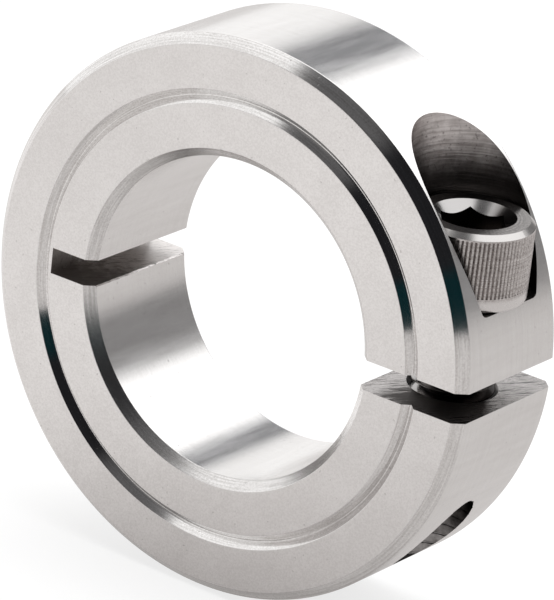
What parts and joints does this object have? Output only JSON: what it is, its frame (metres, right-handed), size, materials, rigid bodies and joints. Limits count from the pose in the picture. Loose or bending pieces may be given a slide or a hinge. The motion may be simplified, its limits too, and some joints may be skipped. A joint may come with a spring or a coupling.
{
  "type": "one-piece clamping shaft collar",
  "caption": "One-piece clamping shaft collar: chamfered ring with one full slit, a relief slot opposite, a face groove and a cross-wise socket head clamp screw.",
  "frame": {"origin": "centre of the bore, at the middle of the collar's width", "axes": "+Y along the bore (the grooved face looks along -Y), +Z along the clamp screw towards its head, +X towards the slit"},
  "size_m": [0.0444, 0.0126, 0.0444],
  "materials": {
    "ring_steel": "turned, satin",
    "screw_steel": "knurled head, satin"
  },
  "bodies": {
    "upper": {"upper_jaw": "ring_steel"},
    "lower": {"lower_jaw": "ring_steel"},
    "screw": {"cap_screw": "screw_steel"}
  },
  "joints": [
    {"name": "screw_turn", "type": "hinge", "parent": "upper", "child": "screw", "pos_m": [0.01715, 0, 0.0064], "axis": [0, 0, -1], "range_deg": [0, 120]},
    {"name": "jaw_flex", "type": "hinge", "parent": "upper", "child": "lower", "pos_m": [-0.0166, 0, 0], "axis": [0, -1, 0], "range_deg": [0, 0.5133]}
  ],
  "couplings": [
    {"joint": "jaw_flex", "follows": "screw_turn", "ratio": 0.0042776}
  ]
}
